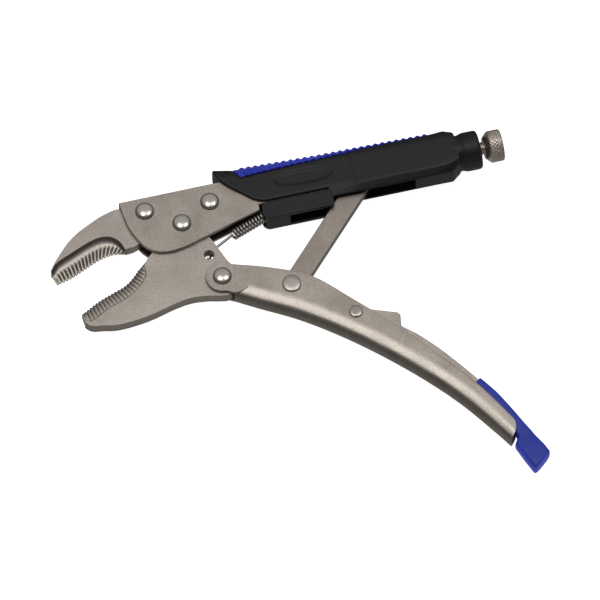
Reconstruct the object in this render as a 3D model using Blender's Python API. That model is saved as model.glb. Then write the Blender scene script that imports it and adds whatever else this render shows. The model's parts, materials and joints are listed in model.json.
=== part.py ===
"""Locking pliers, 250 mm, lying flat: X runs along the fixed handle to the knob, Y across, Z is the thickness."""

import bpy
import bmesh
from math import atan2, cos, hypot, pi, radians, sin

MM = 0.001

# Frame: where the jaw pivot stands in the part's own frame, in millimetres.
JAW_PIVOT_X = -51.25
JAW_PIVOT_Y = 78.2
JAW_PIVOT_Z = 10.45

# Pivots and holes in the plane of the tool, in millimetres from the jaw pivot.
JAW_PIVOT = (0.0, 0.0)
FRONT_RIVET = (-17.4, 11.4)
REAR_RIVET = (17.2, 9.1)
HANDLE_PIVOT = (13.3, -36.1)
LINK_PIVOT = (47.7, -49.0)
LINK_END = (103.0, 9.7)
LEVER_PIVOT = (76.6, -73.1)
SPRING_HOLE = (9.8, -20.9)
SPRING_PIN = (59.0, 5.5)
SPRING_TURNS = 15
SPRING_R = 2.6
WIRE_R = 0.6
SCREW_Y = 9.7

# Thicknesses, as half widths across the tool.
PLATE = 3.3
WALL_IN = 3.6
WALL_OUT = 5.3
LINK_HALF = 2.5
LEVER_HALF = 2.1
GRIP_FIT = 5.6
SKIRT_IN = 4.2
SKIRT_OUT = 6.4
SLOT_HALF = 4.9
GAP = 0.3

# Sheet and rivets.
SHEET = 1.7
HEAD_R = 4.95
HEAD_H = 1.9
SHANK_R = 2.9
HOLE_R = 3.2

# Fixed handle.
CHANNEL_TOP = 19.5
CHANNEL_FOOT = 1.5
CHANNEL_END = 141.0
TUBE_END = 163.0
TUBE_R = 6.0
BORE_R = 3.8

# Screw and knob.
TIP_X = 109.7
TIP_R = 2.8
THREAD_X = 139.0
SCREW_R = 3.5
KNOB_X = 166.0
KNOB_LENGTH = 9.8
KNOB_CONE = 2.8
THREAD_PITCH = 1.5
THREAD_DEPTH = 0.35
KNOB_R = 8.5
SPIGOT_R = 2.4
SPIGOT_LENGTH = 4.0

# Teeth.
UPPER_TEETH = 18
LOWER_TEETH = 15
TOOTH_DEPTH = 0.95


def smooth_curve(points, count):
    """Points evenly along a soft curve through the given points."""
    fine = []
    last = len(points) - 1
    for i in range(last):
        before = points[max(i - 1, 0)]
        a = points[i]
        b = points[i + 1]
        after = points[min(i + 2, last)]
        for k in range(12):
            t = k / 12
            fine.append(tuple(
                0.5 * (2 * a[j] + (b[j] - before[j]) * t
                       + (2 * before[j] - 5 * a[j] + 4 * b[j] - after[j]) * t * t
                       + (3 * a[j] - before[j] - 3 * b[j] + after[j]) * t ** 3)
                for j in range(len(a))))
    fine.append(points[last])
    lengths = [0.0]
    for p, q in zip(fine, fine[1:]):
        lengths.append(lengths[-1] + hypot(*(q[j] - p[j] for j in range(len(p)))))
    result = []
    k = 0
    for i in range(count):
        want = lengths[-1] * i / (count - 1)
        while k < len(fine) - 2 and lengths[k + 1] < want:
            k += 1
        t = (want - lengths[k]) / (lengths[k + 1] - lengths[k])
        result.append(tuple(p + (q - p) * t for p, q in zip(fine[k], fine[k + 1])))
    return result


def arc(centre, radius, start, end, count):
    """Points on an arc, angles in degrees."""
    angles = [radians(start + (end - start) * i / (count - 1)) for i in range(count)]
    return [(centre[0] + radius * cos(a), centre[1] + radius * sin(a)) for a in angles]


def inset(points, distance):
    """A closed outline moved inwards; the outline runs anticlockwise."""
    result = []
    for i, point in enumerate(points):
        a = points[i - 1]
        b = points[(i + 1) % len(points)]
        length = hypot(b[0] - a[0], b[1] - a[1])
        normal = (-(b[1] - a[1]) / length, (b[0] - a[0]) / length)
        result.append((point[0] + normal[0] * distance, point[1] + normal[1] * distance))
    return result


def anticlockwise(points):
    """The same outline, turned to run anticlockwise."""
    area = sum(p[0] * q[1] - q[0] * p[1] for p, q in zip(points, points[1:] + points[:1]))
    return points if area > 0 else points[::-1]


def loft(rings):
    """Vertices and faces of a skin over rings of equally many points, closed at both ends."""
    size = len(rings[0])
    vertices = [point for ring in rings for point in ring]
    faces = []
    for r in range(len(rings) - 1):
        here = r * size
        there = here + size
        for i in range(size):
            j = (i + 1) % size
            faces.append((here + i, here + j, there + j, there + i))
    faces.append(tuple(range(size)))
    faces.append(tuple(range(len(vertices) - size, len(vertices))))
    return vertices, faces


def prism(outline, low, high):
    """A flat plate from low to high in Z."""
    return loft([[(x, y, z) for x, y in outline] for z in (low, high)])


def turned_z(profile, centre, steps=20):
    """A round solid about a Z axis; profile holds (radius, z)."""
    rings = []
    for radius, z in profile:
        rings.append([(centre[0] + radius * cos(2 * pi * i / steps),
                       centre[1] + radius * sin(2 * pi * i / steps), z) for i in range(steps)])
    return loft(rings)


def turned_x(profile, steps=32):
    """A round solid about the screw's axis; profile holds (radius, x)."""
    rings = []
    for radius, x in profile:
        rings.append([(x, SCREW_Y + radius * cos(2 * pi * i / steps),
                       radius * sin(2 * pi * i / steps)) for i in range(steps)])
    return loft(rings)


def make_material(name, colour, roughness, metallic):
    material = bpy.data.materials.new(name)
    material.use_nodes = True
    shader = material.node_tree.nodes["Principled BSDF"]
    shader.inputs["Base Color"].default_value = (*colour, 1.0)
    shader.inputs["Roughness"].default_value = roughness
    shader.inputs["Metallic"].default_value = metallic
    material.diffuse_color = (*colour, 1.0)
    return material


def make_body(name, place, parent=None):
    """An empty on a joint's axis; everything on that body hangs from it."""
    empty = bpy.data.objects.new(name, None)
    bpy.context.collection.objects.link(empty)
    empty["pivot"] = place
    if parent is None:
        empty.location = ((JAW_PIVOT_X + place[0]) * MM, (JAW_PIVOT_Y + place[1]) * MM, JAW_PIVOT_Z * MM)
    else:
        empty.parent = parent
        start = parent["pivot"]
        empty.location = ((place[0] - start[0]) * MM, (place[1] - start[1]) * MM, 0.0)
    return empty


def add_object(name, body, shape, material=None):
    """A mesh object on a body; shape is vertices in millimetres from the jaw pivot, and faces."""
    vertices, faces = shape
    pivot = body["pivot"]
    mesh = bpy.data.meshes.new(name)
    mesh.from_pydata([((x - pivot[0]) * MM, (y - pivot[1]) * MM, z * MM) for x, y, z in vertices], [], faces)
    work = bmesh.new()
    work.from_mesh(mesh)
    bmesh.ops.recalc_face_normals(work, faces=work.faces)
    work.to_mesh(mesh)
    work.free()
    mesh.shade_smooth()
    mesh.set_sharp_from_angle(angle=radians(32))
    item = bpy.data.objects.new(name, mesh)
    bpy.context.collection.objects.link(item)
    item.parent = body
    if material is not None:
        mesh.materials.append(material)
    return item


def combine(item, name, body, shape, operation="DIFFERENCE"):
    """Cut, join or intersect an object with a hidden helper shape."""
    helper = add_object(name, body, shape)
    helper.hide_render = True
    helper.display_type = "WIRE"
    modifier = item.modifiers.new(name, "BOOLEAN")
    modifier.operation = operation
    modifier.solver = "EXACT"
    modifier.object = helper
    return helper


def add_bevel(item, width, segments=2, angle=40):
    modifier = item.modifiers.new("edges", "BEVEL")
    modifier.width = width * MM
    modifier.segments = segments
    modifier.limit_method = "ANGLE"
    modifier.angle_limit = radians(angle)
    return modifier


def drill(item, body, name, centre, radius, reach=20.0):
    combine(item, name, body, turned_z([(radius, -reach), (radius, reach)], centre, 28))


def slot_bar(low, high, half):
    """A box from one corner to another in the plane, and half to each side across it."""
    corners = [(low[0], low[1]), (high[0], low[1]), (high[0], high[1]), (low[0], high[1])]
    return prism(corners, -half, half)


def add_fixed_channel(body, material):
    """The folded sheet channel of the fixed handle, with the round threaded end for the screw."""
    nose = smooth_curve([(-29.6, 19.5), (-29.3, 14.8), (-28.4, 5.9), (-26.0, -2.2), (-22.0, -9.6), (-16.4, -13.9),
                         (-9.5, -15.2), (-1.5, -14.3), (6.1, -12.2)], 18)
    outline = nose + [(42.0, -1.7), (42.0, CHANNEL_FOOT), (CHANNEL_END, CHANNEL_FOOT), (CHANNEL_END, CHANNEL_TOP)]
    channel = add_object("fixed_handle_channel", body, prism(anticlockwise(outline), -WALL_OUT, WALL_OUT), material)
    add_bevel(channel, 0.3, 1)
    corner = arc((2.7, 17.1), 2.4, 0, 90, 6)
    section = [(WALL_OUT - 2.7 + z, y) for z, y in corner]
    section = section + [(-z, y) for z, y in reversed(section)] + [(-WALL_OUT - 1, -30.0), (WALL_OUT + 1, -30.0)]
    bar = loft([[(x, y, z) for z, y in section] for x in (-40.0, 150.0)])
    combine(channel, "fold_guide", body, bar, "INTERSECT")
    fold = CHANNEL_TOP - SHEET
    combine(channel, "fold_hollow", body, slot_bar((-45.0, -40.0), (CHANNEL_END - 3.0, fold), WALL_IN))
    tube = turned_x([(TUBE_R, CHANNEL_END - 2.0), (TUBE_R, TUBE_END)])
    combine(channel, "round_end", body, tube, "UNION")
    combine(channel, "screw_bore", body, turned_x([(BORE_R, 120.0), (BORE_R, 180.0)]))
    for name, centre in (("front", FRONT_RIVET), ("rear", REAR_RIVET), ("pivot", JAW_PIVOT)):
        drill(channel, body, "channel_hole_" + name, centre, HOLE_R)
    drill(channel, body, "channel_hole_pin", SPRING_PIN, 1.3)
    return channel


# Across each jaw, from the side face to the crest of the teeth: (z, share of the way back from the crest).
JAW_LAYERS = ((PLATE, 1.0), (2.95, 0.955), (2.35, 0.86), (2.05, 0.66), (1.5, 0.0))


def jaw_shape(crest, side, back, teeth):
    """A jaw plate. Its mouth edge steps from the side face over a scooped shoulder to a narrow ridged row."""
    count = 2 * teeth + 1
    crest = smooth_curve(crest, count)
    side = smooth_curve(side, count)
    half = []
    for level, (height, share) in enumerate(JAW_LAYERS):
        mouth = []
        for i, (c, s) in enumerate(zip(crest, side)):
            ridge = i % 2
            bite = TOOTH_DEPTH * ridge * (1 - share) / hypot(s[0] - c[0], s[1] - c[1])
            part = share + bite
            relief = 0.42 * ridge if 0.0 < share < 0.8 else 0.16 * ridge * (share == 0.0)
            mouth.append((c[0] + (s[0] - c[0]) * part, c[1] + (s[1] - c[1]) * part, height - relief))
        edge = inset(back, 0.5) if level == 0 else back
        half.append(mouth + [(x, y, height) for x, y in edge])
    lower = [[(x, y, -z) for x, y, z in ring] for ring in half]
    return loft(lower + half[::-1])


def add_upper_jaw(body, material):
    crest = [(-71.5, -18.2), (-67.4, -17.3), (-62.4, -15.8), (-57.8, -13.8), (-52.6, -11.4), (-46.8, -9.0),
             (-42.0, -7.8), (-37.5, -7.6), (-33.6, -8.4)]
    side = [(-73.3, -11.4), (-70.0, -7.6), (-66.2, -5.4), (-61.4, -3.4), (-54.9, -0.6), (-49.0, 1.6),
            (-44.0, 2.7), (-39.8, 2.3), (-36.4, 0.6), (-33.9, -2.6), (-32.3, -7.4)]
    neck = [(-28.0, -7.2), (-24.0, -5.8), (-13.5, -1.2)]
    saddle = arc(JAW_PIVOT, 9.6, 166, 24, 13)
    tail = [(14.0, 3.6), (19.0, 3.4)] + arc((19.5, 8.4), 5.0, -80, 0, 5) + [(24.5, 14.0), (22.0, 17.0)]
    spine = smooth_curve([(-29.8, 17.0), (-33.1, 17.1), (-41.0, 14.8), (-47.3, 11.9), (-54.2, 8.4), (-60.3, 4.0),
                          (-66.0, -1.6), (-71.0, -7.4), (-73.2, -10.6)], 16)
    back = neck + saddle + tail + spine
    jaw = add_object("upper_jaw", body, jaw_shape(crest, side, back, UPPER_TEETH), material)
    drill(jaw, body, "jaw_hole_front", FRONT_RIVET, HOLE_R)
    drill(jaw, body, "jaw_hole_rear", REAR_RIVET, HOLE_R)
    return jaw


def add_lower_jaw(body, material):
    crest = [(-63.2, -39.4), (-59.6, -37.4), (-53.8, -34.2), (-48.2, -31.9), (-42.7, -29.9), (-38.4, -28.4),
             (-34.4, -26.0), (-31.2, -23.2), (-28.6, -20.6), (-25.4, -18.2)]
    side = [(-62.6, -44.0), (-58.9, -45.4), (-54.5, -43.6), (-49.5, -40.9), (-44.6, -38.8), (-38.9, -36.8),
            (-34.3, -34.6), (-30.4, -32.0), (-27.4, -29.0), (-25.2, -25.6), (-24.6, -22.2), (-24.9, -19.6)]
    neck = [(-22.5, -16.4), (-19.8, -13.9), (-14.0, -8.2)]
    eye = arc(JAW_PIVOT, 9.2, 200, -40, 19)
    heel = smooth_curve([(12.0, -10.5), (15.0, -18.0), (18.6, -27.5), (22.4, -33.5), (22.8, -39.0), (19.4, -44.6),
                         (13.5, -46.4)], 12)
    belly = smooth_curve([(9.0, -45.6), (3.4, -44.3), (-5.1, -43.6), (-14.0, -44.9), (-28.0, -48.5), (-38.7, -50.0),
                          (-47.0, -50.2), (-54.3, -48.8), (-58.0, -48.3), (-60.9, -46.9), (-62.6, -44.6)], 22)
    jaw = add_object("lower_jaw", body, jaw_shape(crest, side, neck + eye + heel + belly, LOWER_TEETH), material)
    drill(jaw, body, "jaw_eye", JAW_PIVOT, HOLE_R)
    drill(jaw, body, "jaw_handle_hole", HANDLE_PIVOT, HOLE_R)
    drill(jaw, body, "jaw_spring_hole", SPRING_HOLE, 2.85)
    return jaw


# Stations of the moving handle: a point on the wall's top edge and the point under it on the fold.
HANDLE_TOP = [(19.5, -29.9), (39.7, -36.9), (59.5, -47.0), (78.0, -66.3), (95.5, -85.7), (112.6, -107.6),
              (128.5, -129.8), (140.6, -151.6), (143.6, -157.6)]
HANDLE_FOLD = [(16.9, -49.6), (27.6, -56.4), (46.4, -67.8), (63.7, -80.9), (82.0, -97.2), (101.0, -116.8),
               (117.4, -136.7), (131.4, -157.9), (137.0, -167.2)]
HANDLE_STATIONS = 14

# Section of the moving handle: height above the fold and half width, outside then inside.
HANDLE_OUTSIDE = [(9.4, 5.3), (8.2, 6.1), (7.0, 7.1), (5.2, 7.1), (3.2, 6.0), (1.5, 4.3), (0.4, 2.3)]
HANDLE_INSIDE = [(9.4, 3.6), (7.6, 4.3), (6.4, 5.4), (4.6, 5.1), (3.1, 3.9), (2.1, 2.6), (1.75, 1.3)]


def handle_ring(top, fold):
    """One U-shaped section between a top point and a fold point."""
    depth = hypot(top[0] - fold[0], top[1] - fold[1])
    up = ((top[0] - fold[0]) / depth, (top[1] - fold[1]) / depth)
    squeeze = min(1.0, (depth - 1.2) / HANDLE_OUTSIDE[0][0])
    outside = [(depth, WALL_OUT)] + [(n * squeeze, z) for n, z in HANDLE_OUTSIDE]
    inside = [(depth, WALL_IN)] + [(n * squeeze, z) for n, z in HANDLE_INSIDE]
    ring = outside + [(0.0, 0.0)] + [(n, -z) for n, z in reversed(outside)]
    ring += [(n, -z) for n, z in inside] + [(SHEET, 0.0)] + [(n, z) for n, z in reversed(inside)]
    return [(fold[0] + up[0] * n, fold[1] + up[1] * n, z) for n, z in ring]


def add_lower_channel(body, material):
    """The moving handle: a deep folded channel with a bulged fold, and two ears at its front."""
    tops = smooth_curve(HANDLE_TOP, HANDLE_STATIONS)
    folds = smooth_curve(HANDLE_FOLD, HANDLE_STATIONS)
    channel = add_object("lower_handle_channel", body,
                         loft([handle_ring(t, f) for t, f in zip(tops, folds)]), material)
    ear = arc(HANDLE_PIVOT, 8.7, 66, 262, 22)
    ear += [(14.2, -45.3), (16.6, -47.0), (19.0, -47.6), (25.0, -46.0), (29.0, -40.0), (28.0, -33.3), (21.0, -30.8)]
    inner = 0.04
    for side in (-1, 1):
        low, high = sorted((side * (WALL_IN + inner), side * (WALL_OUT - inner)))
        name = "ear_left" if side > 0 else "ear_right"
        combine(channel, name, body, prism(ear, low, high), "UNION")
    drill(channel, body, "ear_hole", HANDLE_PIVOT, HOLE_R)
    drill(channel, body, "link_hole", LINK_PIVOT, HOLE_R)
    drill(channel, body, "lever_hole", LEVER_PIVOT, 2.6)
    return channel


def rivet_shape(centre, outer, head_r, head_h, shank_r, crown):
    """A rivet with a head on each side; crown is how round the heads are, from 0 to 1."""
    base = outer + GAP
    head = []
    for i in range(4):
        a = radians(27 * i)
        head.append((head_r * (1 - crown * (1 - cos(a))), base + head_h * (0.25 + 0.75 * sin(a))))
    profile = [(shank_r, base), (head_r * 0.97, base)] + head
    mirrored = [(r, -z) for r, z in reversed(profile)]
    return turned_z(mirrored + profile, centre)


def add_rivets(root, handle, polished, satin):
    heads = (HEAD_R, HEAD_H, SHANK_R, 0.9)
    add_object("front_jaw_rivet", root, rivet_shape(FRONT_RIVET, WALL_OUT, *heads), polished)
    add_object("rear_jaw_rivet", root, rivet_shape(REAR_RIVET, WALL_OUT, *heads), polished)
    add_object("jaw_pivot_rivet", root, rivet_shape(JAW_PIVOT, WALL_OUT, *heads), polished)
    add_object("handle_pivot_rivet", handle, rivet_shape(HANDLE_PIVOT, WALL_OUT, *heads), polished)
    add_object("link_rivet", handle, rivet_shape(LINK_PIVOT, WALL_OUT, HEAD_R, 0.9, SHANK_R, 0.35), satin)
    add_object("lever_rivet", handle, rivet_shape(LEVER_PIVOT, WALL_OUT, 3.5, 0.7, 2.3, 0.3), satin)


def add_toggle_link(body, material):
    """The flat toggle bar from the moving handle up to the screw's tip."""
    heading = atan2(LINK_END[1] - LINK_PIVOT[1], LINK_END[0] - LINK_PIVOT[0]) * 180 / pi
    width = 5.6
    outline = arc(LINK_END, width, heading - 90, heading + 90, 11)
    outline += arc(LINK_PIVOT, width, heading + 90, heading + 270, 11)
    link = add_object("toggle_link", body, prism(outline, -LINK_HALF, LINK_HALF), material)
    add_bevel(link, 0.35)
    drill(link, body, "link_eye", LINK_PIVOT, HOLE_R)
    return link


# Stations of the lever's sleeve: ridge x, ridge y, keel x, keel y, half width.
SLEEVE_STATIONS = ((131.2, -124.9, 125.4, -129.6, 2.95), (137.6, -135.2, 131.0, -140.4, 3.1),
                   (143.2, -147.0, 136.2, -151.2, 3.1), (147.4, -156.6, 139.6, -159.0, 3.1),
                   (149.8, -161.8, 141.3, -163.8, 3.15), (151.6, -165.6, 140.2, -168.8, 3.5),
                   (153.6, -170.0, 142.3, -177.2, 4.0), (155.9, -175.4, 145.2, -184.4, 4.3))
SLEEVE_FLAT = 0.62


def add_release_lever(body, steel, blue):
    """The release lever inside the moving handle, with its thumb tab, and the sleeve on its tail."""
    top = [(70.8, -70.4), (76.0, -66.8), (83.4, -71.0), (87.0, -72.6), (98.3, -76.9), (99.3, -78.6), (98.2, -85.2)]
    top += smooth_curve([(104.9, -91.4), (111.9, -99.6), (118.6, -108.6), (129.4, -124.9), (137.4, -139.6),
                         (145.3, -158.5), (151.2, -174.5)], 16)
    under = smooth_curve([(147.2, -176.4), (141.2, -160.6), (133.4, -142.4), (125.6, -128.0), (114.0, -112.2),
                          (101.8, -97.4), (92.0, -89.0), (80.5, -80.0), (73.4, -78.4), (70.6, -74.8)], 18)
    lever = add_object("release_lever", body, prism(anticlockwise(top + under), -LEVER_HALF, LEVER_HALF), steel)
    add_bevel(lever, 0.35)
    drill(lever, body, "lever_eye", LEVER_PIVOT, 2.6)
    rings = []
    for ridge_x, ridge_y, keel_x, keel_y, half in SLEEVE_STATIONS:
        middle = ((ridge_x + keel_x) / 2, (ridge_y + keel_y) / 2)
        reach = hypot(ridge_x - keel_x, ridge_y - keel_y) / 2
        across = ((ridge_x - middle[0]) / reach, (ridge_y - middle[1]) / reach)
        ring = []
        for i in range(20):
            a = 2 * pi * i / 20
            n = reach * (abs(sin(a)) ** SLEEVE_FLAT) * (1 if sin(a) >= 0 else -1)
            z = half * (abs(cos(a)) ** SLEEVE_FLAT) * (1 if cos(a) >= 0 else -1)
            ring.append((middle[0] + across[0] * n, middle[1] + across[1] * n, z))
        rings.append(ring)
    end = rings[-1]
    centre = [sum(p[j] for p in end) / len(end) for j in range(3)]
    tip = [tuple(c + (p - c) * 0.8 for p, c in zip(point, centre)) for point in end]
    rings.append([(x + 0.7, y - 1.7, z) for x, y, z in tip])
    sleeve = add_object("lever_sleeve", body, loft(rings), blue)
    pocket = prism(anticlockwise(inset(anticlockwise(top + under), -GAP)), -LEVER_HALF - GAP, LEVER_HALF + GAP)
    combine(sleeve, "sleeve_pocket", body, pocket)
    return lever, sleeve


def spring_path():
    """The centre line of the return spring's wire: hook, straight wire, coil, wire and upper hook."""
    start = (25.4, -10.2)
    end = (51.5, -0.4)
    length = hypot(end[0] - start[0], end[1] - start[1])
    along = ((end[0] - start[0]) / length, (end[1] - start[1]) / length)
    across = (-along[1], along[0])
    turns = SPRING_TURNS
    per_turn = 10
    radius = SPRING_R
    x, y = SPRING_HOLE
    path = [(x - 0.7, y - 0.7, 2.2), (x - 0.5, y - 0.3, -0.5), (x + 0.2, y + 0.6, -3.4), (x + 1.7, y + 3.4, -4.6),
            (x + 4.1, y + 6.5, -4.4), (x + 9.0, y + 8.9, -3.6), (start[0] - 1.6, start[1] + 0.5, -2.6)]
    for i in range(turns * per_turn + 1):
        a = 2 * pi * i / per_turn + 2.6
        s = length * i / (turns * per_turn)
        n = radius * sin(a)
        path.append((start[0] + along[0] * s + across[0] * n, start[1] + along[1] * s + across[1] * n,
                     radius * cos(a)))
    path += [(end[0] + 2.4, end[1] + 1.4, -0.4), (SPRING_PIN[0] - 2.2, SPRING_PIN[1] - 2.0, 0.0)]
    path += [(SPRING_PIN[0] + 2.0 * cos(a), SPRING_PIN[1] + 2.0 * sin(a), 0.25 + 0.1 * i)
             for i, a in enumerate(radians(-60 + 50 * k) for k in range(5))]
    return path


def add_spring(body, spring_material, pin_material):
    """The return spring, and the pin across the fixed channel that holds its upper hook."""
    path = spring_path()
    curve = bpy.data.curves.new("return_spring", "CURVE")
    curve.dimensions = "3D"
    curve.bevel_depth = WIRE_R * MM
    curve.bevel_resolution = 0
    curve.use_fill_caps = True
    line = curve.splines.new("POLY")
    line.points.add(len(path) - 1)
    for point, (x, y, z) in zip(line.points, path):
        point.co = (x * MM, y * MM, z * MM, 1.0)
    curve.materials.append(spring_material)
    spring = bpy.data.objects.new("return_spring", curve)
    bpy.context.collection.objects.link(spring)
    spring.parent = body
    pin = turned_z([(1.0, -WALL_OUT + GAP), (1.0, WALL_OUT - GAP)], SPRING_PIN, 20)
    add_object("spring_anchor_pin", body, pin, pin_material)
    return spring


# Sections of the grip: x, crown top, crown foot, half width, underside, lower chamfer, underside half width.
FRONT_SECTIONS = [(18.0, 29.8, 21.0, 7.0, 1.9, 1.0, 6.6), (33.0, 26.5, 19.2, 7.1, 1.9, 1.0, 6.6),
                  (62.0, 25.2, 18.2, 7.1, 1.9, 1.0, 6.6), (98.0, 24.1, 17.2, 7.1, 1.9, 1.0, 6.6)]
REAR_SECTIONS = [(79.6, 24.55, 17.6, 7.0, -3.3, 4.2, 5.4), (97.5, 24.2, 17.1, 7.6, -3.3, 4.2, 5.6),
                 (120.0, 23.7, 16.4, 7.7, -3.3, 4.2, 5.6), (141.0, 23.2, 15.8, 7.6, -3.3, 4.0, 5.6),
                 (146.5, 23.5, 15.9, 7.6, -3.3, 4.0, 5.6), (151.6, 21.4, 14.2, 7.0, 0.8, 2.0, 5.0)]
CROWN_STEPS = 12
STRIP_START = 33.0
STRIP_END = 144.6
RIB_PITCH = 3.8


def grip_ring(section):
    x, top, foot, half, under, chamfer, base = section
    ring = [(x, under, base), (x, under + chamfer, half)]
    for i in range(CROWN_STEPS + 1):
        a = pi * i / CROWN_STEPS
        ring.append((x, foot + (top - foot) * sin(a), half * cos(a)))
    return ring + [(x, under + chamfer, -half), (x, under, -base)]


def section_at(x):
    """Crown top, crown foot and half width of the grip at a place along it."""
    sections = FRONT_SECTIONS[:-1] + REAR_SECTIONS
    for a, b in zip(sections, sections[1:]):
        if x <= b[0]:
            t = (x - a[0]) / (b[0] - a[0])
            return [a[k] + (b[k] - a[k]) * t for k in (1, 2, 3)]
    return list(sections[-1][1:4])


def strip_ring(x, rise, depth, widen):
    """A curved section of the ribbed strip that lies over the grip's crown."""
    top, foot, half = section_at(x)
    share = (x - STRIP_START) / (STRIP_END - STRIP_START)
    spread = radians(94 - 66 * share) + widen
    steps = 6
    angles = [pi / 2 - spread + 2 * spread * i / steps for i in range(steps + 1)]
    outer = [(x, foot + (top - foot + rise) * sin(a), (half + rise) * cos(a)) for a in angles]
    inner = [(x, foot + (top - foot - depth) * sin(a), (half - depth) * cos(a)) for a in reversed(angles)]
    return outer + inner


def add_grip(body, black, skirt_black, blue):
    shell = add_object("grip_shell", body, loft([grip_ring(s) for s in FRONT_SECTIONS]), black)
    combine(shell, "rear_barrel", body, loft([grip_ring(s) for s in REAR_SECTIONS]), "UNION")
    collar = turned_x([(7.0, 141.4), (7.6, 143.5), (8.4, 146.5), (9.1, 149.6), (9.35, 151.9), (9.8, 153.8),
                       (10.45, 155.6), (10.45, 162.4), (9.7, 163.6)], 40)
    combine(shell, "collar", body, collar, "UNION")
    brow = smooth_curve([(22.6, 30.0), (22.9, 24.5), (25.6, 18.8), (30.1, 13.7), (34.9, 9.2), (39.6, 4.8),
                         (43.6, 2.6), (49.0, 1.5)], 14)
    combine(shell, "front_edge", body, prism(anticlockwise(brow + [(49.0, -20.0), (0.0, -20.0), (0.0, 40.0)]), -12, 12))
    channel_room = slot_bar((-10.0, CHANNEL_FOOT - GAP), (CHANNEL_END + GAP, CHANNEL_TOP + GAP), GRIP_FIT)
    combine(shell, "channel_room", body, channel_room)
    combine(shell, "link_slot", body, slot_bar((78.0, -10.0), (126.0, CHANNEL_FOOT), SLOT_HALF))
    combine(shell, "tube_room", body, turned_x([(TUBE_R + GAP, 130.0), (TUBE_R + GAP, 170.0)]))
    middle_x = 68.5
    pad = [(middle_x + 15.5 * cos(a), 11.6 - 0.5 * cos(a) + 4.3 * (abs(sin(a)) ** 0.8) * (1 if sin(a) > 0 else -1))
           for a in (2 * pi * i / 28 for i in range(28))]
    for side in (-1, 1):
        low, high = sorted((side * 6.7, side * 9.0))
        combine(shell, "oval_panel_left" if side > 0 else "oval_panel_right", body, prism(pad, low, high))
    spans = 24
    room = [strip_ring(STRIP_START - GAP + (STRIP_END - STRIP_START + 2 * GAP) * i / spans, 3.0, 1.4 + GAP, 0.05)
            for i in range(spans + 1)]
    combine(shell, "strip_room", body, loft(room))

    rings = []
    ribs = int((STRIP_END - STRIP_START - 6) / RIB_PITCH)
    rings.append(strip_ring(STRIP_START, 0.1, 1.4, 0.0))
    for i in range(ribs):
        x = STRIP_START + 5 + i * RIB_PITCH
        for shift, rise in ((-1.3, 0.15), (0.0, 0.95), (1.3, 0.15)):
            rings.append(strip_ring(x + shift, rise, 1.4, 0.0))
    rings.append(strip_ring(STRIP_END, 0.1, 1.4, 0.0))
    add_object("grip_rib_strip", body, loft(rings), blue)

    outline = [(43.4, CHANNEL_FOOT - GAP), (42.5, -4.6)] + arc((46.6, -4.5), 4.0, 190, 268, 5)
    outline += [(77.6, -8.5), (79.2, -6.8), (79.2, CHANNEL_FOOT - GAP)]
    skirt = add_object("grip_skirt", body, prism(anticlockwise(outline), -SKIRT_OUT, SKIRT_OUT), skirt_black)
    add_bevel(skirt, 0.7)
    combine(skirt, "spring_room", body, slot_bar((30.0, -7.3), (58.0, 10.0), SKIRT_IN))
    combine(skirt, "link_room", body, slot_bar((57.0, -20.0), (90.0, 10.0), SKIRT_IN))
    for side in (-1, 1):
        low, high = sorted((side * 5.4, side * 9.0))
        groove = prism([(60.0, -3.4), (75.0, -3.4), (75.0, -1.2), (60.0, -1.2)], low, high)
        combine(skirt, "groove_left" if side > 0 else "groove_right", body, groove)
    return shell


def add_screw(screw_body, knob_body, steel):
    profile = [(0.6, TIP_X), (1.8, TIP_X + 0.4), (TIP_R, TIP_X + 1.5), (TIP_R, THREAD_X), (SCREW_R, THREAD_X + 0.7)]
    x = TUBE_END - THREAD_PITCH
    while x < KNOB_X - THREAD_PITCH:
        root = SCREW_R - THREAD_DEPTH
        profile += [(SCREW_R, x), (root, x + 0.55), (root, x + 0.75), (SCREW_R, x + 1.3)]
        x += THREAD_PITCH
    profile += [(SCREW_R, KNOB_X - GAP), (SPIGOT_R, KNOB_X - GAP), (SPIGOT_R, KNOB_X + SPIGOT_LENGTH)]
    add_object("adjusting_screw", screw_body, turned_x(profile, 24), steel)
    end = KNOB_X + KNOB_LENGTH
    knob = [(KNOB_R - 3.0, KNOB_X), (KNOB_R - 0.3, KNOB_X + KNOB_CONE), (KNOB_R, KNOB_X + KNOB_CONE + 0.4),
            (KNOB_R, end - 0.8), (KNOB_R - 0.75, end)]
    item = add_object("knurled_knob", knob_body, turned_x(knob, 48), steel)
    bore = SPIGOT_R + GAP
    socket = turned_x([(bore, KNOB_X - 3.0), (bore, KNOB_X + SPIGOT_LENGTH + GAP)])
    combine(item, "knob_socket", knob_body, socket)
    return item


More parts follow.
